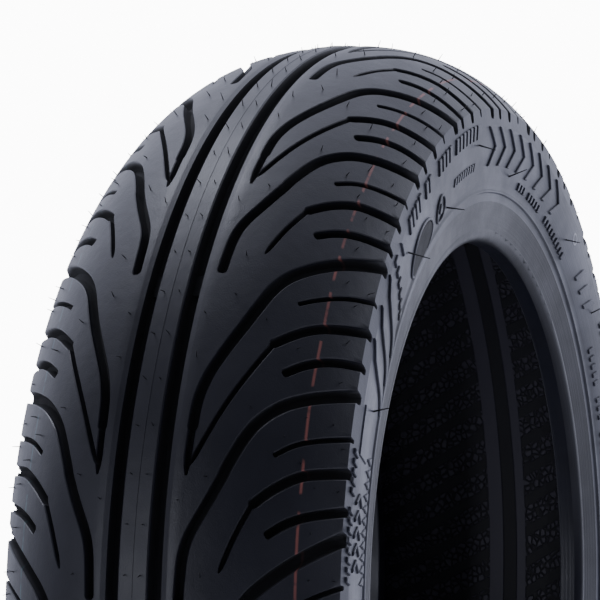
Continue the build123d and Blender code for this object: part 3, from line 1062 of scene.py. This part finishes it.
MOULDED = (
    MarkRow(Mark.TILE, 8.0, 1.0, 204.0, 14, 1.9, 3.4, 1.2, (8,)),
    MarkRow(Mark.CHEVRON, 9.6, 1.75, 195.8, 5, 5.0, 7.4),
    MarkRow(Mark.WEDGE, 8.0, 1.4, 185.6, 11, 3.4, 7.2),
    MarkRow(Mark.TILE, 23.8, 7.0, 196.0, 1, 19.0, 9.0, 1.0, rise=0.5),
    MarkRow(Mark.BLADE, 31.4, 4.2, 188.4, 3, 13.5, 31.0, 4.0, rise=0.9),
    MarkRow(Mark.TILE, 43.3, 0.35, 178.5, 6, 3.6, 2.6, 0.6, climb=4.6),
    MarkRow(Mark.WEDGE, 48.0, 3.0, 200.0, 1, 5.6, 6.0),
    MarkRow(Mark.TILE, 51.4, 1.42, 200.6, 21, 3.0, 6.0, 2.2, (4, 7, 8, 13)),
    MarkRow(Mark.RING, 55.0, 2.0, 181.0, 1, 33.0, 19.0),
    MarkRow(Mark.RING, 64.0, 2.0, 182.6, 1, 12.0, 12.5),
    MarkRow(Mark.OVAL, 64.0, 2.0, 182.6, 1, 4.0, 4.4),
    MarkRow(Mark.TILE, 70.4, 1.05, 186.2, 9, 2.1, 3.4, 1.0, rise=0.5),
    MarkRow(Mark.CHEVRON, 86.4, 4.4, 193.4, 8, 11.5, 17.0, rise=0.9),
    MarkRow(Mark.TILE, 101.0, 1.3, 180.2, 20, 2.2, 3.4, 0.6, (3, 9, 10)),
    MarkRow(Mark.BLADE, 134.0, 3.0, 191.0, 3, 8.0, 13.0, 2.0),
    MarkRow(Mark.TILE, 146.0, 1.42, 200.6, 15, 3.0, 6.0, 2.2, (4, 9)),
    MarkRow(Mark.TILE, 147.0, 1.5, 183.0, 13, 2.4, 4.2, 0.8, (5, 9)),
)
# The badge oval is raised and near-black: painted shade where the sidewall has a deep recess.
BADGE = (MarkRow(Mark.OVAL, 55.0, 2.0, 181.0, 1, 30.0, 16.4, rise=0.55),)
BALANCE = (MarkRow(Mark.RING, 128.0, 2.0, 196.0, 1, 6.2, 6.2, rise=0.08),)


@dataclass
class SideMarks:
    """Moulded marks of one sidewall, made flat and laid on the surface."""

    wall: Sidewall
    rows: tuple[MarkRow, ...]
    repeats: tuple[float, ...] = (0.0, 180.0)
    sink: float = 0.35
    line: float = 1.0
    bevel: float = 0.3
    round_sides: int = 36
    long_side: float = 9.0

    def flat(self, row: MarkRow) -> bpy.types.Object:
        """Makes one mark flat: x round, y from the axis, z above the surface, in mm."""
        corners = row.mark.value
        if row.mark in (Mark.OVAL, Mark.RING):
            turns = [2 * math.pi * i / self.round_sides for i in range(self.round_sides)]
            corners = [(math.cos(turn), math.sin(turn)) for turn in turns]
        obj = primitive("circle", "mark", vertices=len(corners), radius=1.0, fill_type="NGON")
        for vertex, (x, y) in zip(obj.data.vertices, corners):
            vertex.co = (x * row.width / 2, y * row.height / 2, -self.sink)
        bevel = min(self.bevel, row.rise / 2)
        with editing(obj):
            bpy.ops.mesh.select_mode(type="FACE")
            if row.mark is Mark.RING:
                bpy.ops.mesh.inset(thickness=self.line, depth=0.0)
                bpy.ops.mesh.delete(type="FACE")
                bpy.ops.mesh.select_all(action="SELECT")
            bpy.ops.mesh.extrude_region_move(
                TRANSFORM_OT_translate={"value": (0, 0, self.sink + row.rise - bevel)}
            )
            bpy.ops.mesh.inset(thickness=bevel, depth=bevel)
        return obj

    def build(self, name: str, sign: int, slot: str, material: bpy.types.Material) -> None:
        """Lays every row on the sidewall and joins them into one piece.

        Args:
            name: The piece's name.
            sign: 1 for the left sidewall and -1 for the right.
            slot: The record's material slot; not used.
            material: The finish.
        """
        placed = []
        for row in self.rows:
            flat = self.flat(row)
            apply_modifier(flat, "TRIANGULATE")
            with editing(flat):
                if max(row.width, row.height) > self.long_side:
                    bpy.ops.mesh.subdivide(number_cuts=2)
            for base in self.repeats:
                for number in range(row.count):
                    if number in row.skip:
                        continue
                    copy = twin(flat)
                    move_points(copy, lambda p: self.lay(p, row, base, number, sign))
                    placed.append(copy)
            bpy.data.objects.remove(flat)
        marks = join(placed, name)
        with editing(marks):
            bpy.ops.mesh.normals_make_consistent(inside=False)
        smooth(marks, 30.0)
        register(marks, material)

    def lay(self, point: Vector, row: MarkRow, base: float, number: int, sign: int) -> Vector:
        """Takes a flat mark's point to its place on the sidewall."""
        radius = row.radius + number * row.climb + point.y
        turn = base + row.first + number * row.spacing
        slanted = point.x + row.slant * point.y / row.height
        place = self.wall.surface(radius, point.z)
        return around(sign * place.x, place.y, math.radians(turn) + slanted / row.radius)


@dataclass
class WearBars:
    """Low bars across the two main grooves, that come level with the tread when it is worn."""

    crown: Crown
    first: float = 35.0
    count: int = 6
    length: float = 9.0
    middle: float = 8.5
    half_width: float = 2.1
    floor: float = 6.1
    height: float = 1.3
    bevel: float = 0.06

    def build(self, finishes: Finishes) -> None:
        """Lays the bars in the grooves of both halves as one piece."""
        bars = []
        for sign in (1, -1):
            for number in range(self.count):
                turn = math.radians(self.first + 360.0 / self.count * number)
                bar = primitive("cube", "bar", size=1.0)
                apply_modifier(bar, "BEVEL", width=self.bevel, segments=2)
                move_points(bar, lambda p: self.lay(p, turn, sign))
                bars.append(bar)
        made = join(bars, "wear_bars")
        with editing(made):
            bpy.ops.mesh.normals_make_consistent(inside=False)
        smooth(made, 50.0)
        register(made, finishes.tread)

    def lay(self, point: Vector, turn: float, sign: int) -> Vector:
        """Takes a point of a unit cube to its place in a groove."""
        distance = self.middle + point.x * 2 * self.half_width
        depth = self.floor - (point.z + 0.5) * self.height
        place, _ = self.crown.place(distance, depth)
        return around(sign * place.x, place.y, turn + point.y * self.length / self.crown.radius)


@dataclass
class MouldLine:
    """The thin ridge round the middle, where the two halves of the mould met."""

    crown: Crown
    foot: Point = (0.35, -0.2)
    top: Point = (0.12, 0.16)
    segments: int = 288

    def build(self, finishes: Finishes) -> None:
        """Spins the ridge and dresses it."""
        (wide, low), (narrow, high) = self.foot, self.top
        outline = ((wide, low), (narrow, high), (-narrow, high), (-wide, low))
        profile = [(across, self.crown.radius + height) for across, height in outline]
        ridge = spun("mould_line", profile, 1, self.segments)
        smooth(ridge, 40.0)
        register(ridge, finishes.tread)


@dataclass
class Hairs:
    """The fine rubber hairs that the mould's vents leave."""

    tread: Tread
    wall: Sidewall
    rows: tuple[float, ...] = (3.0, 15.2, 25.0, 38.0, 51.0, 58.0, 64.0, 69.0, 73.5)
    per_pitch: int = 7
    shortest: float = 1.4
    longest: float = 3.4
    gap: float = 2.6
    main_groove: Point = (4.0, 14.0)
    tread_thick: float = 0.25
    side_thick: float = 0.42
    tread_lean: float = 0.35
    side_lean: float = 0.45
    seed: int = 12
    side_hairs: tuple[tuple[float, float, float], ...] = (
        (27.4, 189.0, 9.5), (49.2, 193.0, 9.5), (67.6, 178.5, 9.0), (80.6, 194.8, 9.0),
        (96.0, 182.0, 9.5), (125.0, 188.0, 8.0), (142.0, 192.0, 8.5), (170.0, 190.0, 7.0),
        (185.0, 190.5, 8.0), (227.5, 191.0, 8.0), (260.0, 194.0, 8.5), (276.0, 182.0, 8.0),
        (305.0, 188.0, 8.0), (322.0, 192.0, 7.5), (350.0, 190.0, 7.0),
    )

    def on_rubber(self, turn_share: float, distance: float) -> bool:
        """Whether a place of the pattern is clear of every groove."""
        here = Vector((turn_share * self.tread.pitch, distance))
        for groove in self.tread.grooves:
            for shift in (-1, 0, 1):
                for share, out in groove.smooth_line(3):
                    there = Vector(((share + shift) * self.tread.pitch, out))
                    if (here - there).length < self.gap + max(groove.widths) / 2:
                        return False
        return not self.main_groove[0] < distance < self.main_groove[1]

    @staticmethod
    def leaning(draw: random.Random, most: float) -> Vector:
        """Draws how far a hair leans, at most so much each way."""
        return Vector([draw.uniform(-most, most) for _ in range(3)])

    def hair(self, foot: Vector, out: Vector, length: float, thick: float) -> bpy.types.Object:
        """Makes one tapering hair.

        Args:
            foot: Where it stands, in metres.
            out: Its direction.
            length: Its length in mm.
            thick: Its radius at the foot in mm.

        Returns:
            The hair.
        """
        obj = twin(self.pattern)
        turn = out.to_track_quat("Z", "Y").to_matrix()
        move_points(
            obj,
            lambda p: foot + turn @ Vector((p.x * thick, p.y * thick, p.z * length)) * MM,
        )
        return obj

    def build(self, finishes: Finishes) -> None:
        """Sets hairs on the tread and on both sidewalls."""
        draw = random.Random(self.seed)
        self.pattern = primitive(
            "cone", "hair", vertices=5, radius1=1.0, radius2=0.45, depth=1.0, location=(0, 0, 0.42)
        )
        spots = []
        for row, distance in enumerate(self.rows):
            for k in range(self.per_pitch):
                share = (k + 0.5 * (row % 2)) / self.per_pitch
                if self.on_rubber(share, distance):
                    spots.append((share, distance))
        for side, sign in (("left", 1), ("right", -1)):
            made = []
            for number in range(self.tread.pitches):
                for share, distance in spots:
                    place, angle = self.tread.crown.place(distance, 0.0)
                    turn = math.radians(
                        self.tread.first_tip + 360.0 / self.tread.pitches * (number + share)
                    )
                    foot = around(sign * place.x, place.y, turn)
                    out = direction(angle)
                    lean = self.leaning(draw, self.tread_lean)
                    way = around(sign * out.x, out.y, turn).normalized() + lean
                    length = draw.uniform(self.shortest, self.longest)
                    made.append(self.hair(foot, way, length, self.tread_thick))
            for turn, radius, length in self.side_hairs:
                place = self.wall.surface(radius, 0.0)
                foot = around(sign * place.x, place.y, math.radians(turn))
                lean = self.leaning(draw, self.side_lean)
                way = Vector((0, sign, 0)) + lean
                made.append(self.hair(foot, way, length, self.side_thick))
            hairs = join(made, f"vent_hairs_{side}")
            smooth(hairs, 60.0)
            register(hairs, finishes.hair)
        bpy.data.objects.remove(self.pattern)


@dataclass
class Studio:
    """The floor, the lights and the camera."""

    azimuth: float = 291.67
    elevation: float = 0.24
    distance: float = 1.0574
    aim: tuple[float, float, float] = (0.0, 0.02876, 0.12797)
    roll: float = -1.12
    lens: float = 140.6
    floor_level: float = -0.2402
    wall_way: tuple[float, float, float] = (0.88, 0.30, 0.35)
    room: float = 0.15
    wall: float = 1.75
    wall_edges: tuple[float, float] = (-0.15, 0.75)
    backdrop: float = 12.0
    sky_tint: Colour = (0.79, 0.82, 1.0)
    floor_size: float = 30.0
    floor_fade: tuple[float, float] = (0.9, 1.6)
    tint: Colour = (0.84, 0.87, 1.0)

    def camera(self) -> None:
        """Sets the camera."""
        a, e, r = (math.radians(v) for v in (self.azimuth, self.elevation, self.roll))
        back = Vector((math.sin(a) * math.cos(e), -math.cos(a) * math.cos(e), math.sin(e)))
        right = (-back).cross(Vector((0, 0, 1))).normalized()
        up = right.cross(-back)
        turned_right = right * math.cos(r) + up * math.sin(r)
        turned_up = up * math.cos(r) - right * math.sin(r)
        data = bpy.data.cameras.new("camera")
        data.sensor_width = 36.0
        data.lens = self.lens
        camera = bpy.data.objects.new("camera", data)
        bpy.context.scene.collection.objects.link(camera)
        grid = Matrix((turned_right, turned_up, back)).transposed().to_4x4()
        grid.translation = back * self.distance + Vector(self.aim)
        camera.matrix_world = grid
        bpy.context.scene.camera = camera

    def sky(self) -> None:
        """Makes the light of a white wall on one side and a dimmer room on the other."""
        world = bpy.data.worlds.new("studio")
        world.use_nodes = True
        tree = world.node_tree
        way = tree.nodes.new("ShaderNodeTexCoord").outputs["Generated"]
        towards = tree.nodes.new("ShaderNodeVectorMath")
        towards.operation = "DOT_PRODUCT"
        towards.inputs[1].default_value = Vector(self.wall_way).normalized()
        tree.links.new(way, towards.inputs[0])
        fade = tree.nodes.new("ShaderNodeMapRange")
        fade.interpolation_type = "SMOOTHSTEP"
        limits = {"From Min": self.wall_edges[0], "From Max": self.wall_edges[1]}
        for name, value in {**limits, "To Min": self.room, "To Max": self.wall}.items():
            fade.inputs[name].default_value = value
        tree.links.new(towards.outputs["Value"], fade.inputs["Value"])
        background = tree.nodes["Background"]
        background.inputs["Color"].default_value = (*self.sky_tint, 1)
        tree.links.new(fade.outputs["Result"], background.inputs["Strength"])
        backdrop = tree.nodes.new("ShaderNodeBackground")
        backdrop.inputs["Color"].default_value = (1, 1, 1, 1)
        backdrop.inputs["Strength"].default_value = self.backdrop
        seen = tree.nodes.new("ShaderNodeMixShader")
        path = tree.nodes.new("ShaderNodeLightPath")
        tree.links.new(path.outputs["Is Camera Ray"], seen.inputs[0])
        tree.links.new(background.outputs[0], seen.inputs[1])
        tree.links.new(backdrop.outputs[0], seen.inputs[2])
        tree.links.new(seen.outputs[0], tree.nodes["World Output"].inputs["Surface"])
        bpy.context.scene.world = world

    def light(self, name: str, place: Point, size: Point, power: float) -> None:
        """Hangs a soft light that faces the tyre, size wide and high."""
        data = bpy.data.lights.new(name, "AREA")
        data.shape = "RECTANGLE"
        data.size, data.size_y = size
        data.energy = power
        data.color = self.tint
        lamp = bpy.data.objects.new(name, data)
        bpy.context.scene.collection.objects.link(lamp)
        lamp.location = place
        aim = -Vector(place)
        lamp.rotation_mode = "QUATERNION"
        lamp.rotation_quaternion = aim.to_track_quat("-Z", "Y")

    def build(self) -> None:
        """Sets up the floor, the sky and the lights."""
        floor = primitive(
            "plane", "floor", size=self.floor_size, location=(0, 0, self.floor_level)
        )
        shop = Shop("floor_paper")
        grain = shop.noise(40.0, 3.0)
        colour = shop.blend(grain, (0.80, 0.80, 0.81), (0.84, 0.84, 0.85))
        material = shop.finish(colour, 0.9, Specular_IOR_Level=0.1)
        away = shop.maths("SQRT", shop.x * shop.x + shop.y * shop.y)
        kept = away.ramp(*self.floor_fade, 1.0, 0.0)
        shop.tree.links.new(kept.socket, shop.shader.inputs["Alpha"])
        floor.data.materials.append(material)
        self.sky()
        self.light("overhead", (0.2, 1.5, 3.4), (1.4, 1.4), 42.0)
        self.light("left_front", (-3.6, 1.5, 0.3), (0.4, 2.2), 30.0)
        self.light("side", (2.6, -3.4, 1.8), (2.0, 2.0), 45.0)
        self.camera()


def dress_cad_nodes(finishes: Finishes) -> None:
    """Gives every CAD node that stays its finish."""
    by_slot = {
        "tread_rubber": finishes.tread,
        "sidewall_rubber": finishes.sidewall,
        "rim_rubber": finishes.rim,
        "liner_rubber": finishes.liner,
        "base_rubber": finishes.base,
        "filler_rubber": finishes.filler,
        "cord_fabric": finishes.cord,
        "woven_chafer": finishes.chafer,
        "bead_wire": finishes.wire,
    }
    for part in frame["record"]["subparts"]:
        obj = frame["nodes"][part["node"]]
        material = by_slot[part["material_slot"]]
        if obj.material_slots:
            for slot in obj.material_slots:
                slot.material = material
        else:
            obj.data.materials.append(material)


def main() -> None:
    """Builds the tyre and its studio."""
    logging.basicConfig(level=logging.INFO, format="%(message)s")
    finishes = Finishes.make()
    dress_cad_nodes(finishes)
    studio = Studio()
    studio.build()
    crown = Crown()
    wall = Sidewall(crown)
    tread = Tread(crown)
    tread.build(finishes)
    for side, sign in (("left", 1), ("right", -1)):
        wall.build(side, sign, finishes)
        slot = "sidewall_rubber"
        SideMarks(wall, MOULDED).build(f"side_marks_{side}", sign, slot, finishes.sidewall)
        # The near-black badge is painted shade for the deep recessed oval.
        SideMarks(wall, BADGE).build(f"side_badge_{side}", sign, slot, finishes.badge)
    SideMarks(wall, BALANCE, (0.0,)).build("balance_mark", -1, "sidewall_rubber", finishes.paint)
    Hairs(tread, wall).build(finishes)
    WearBars(crown).build(finishes)
    MouldLine(crown).build(finishes)


if __name__ == "__main__":
    main()
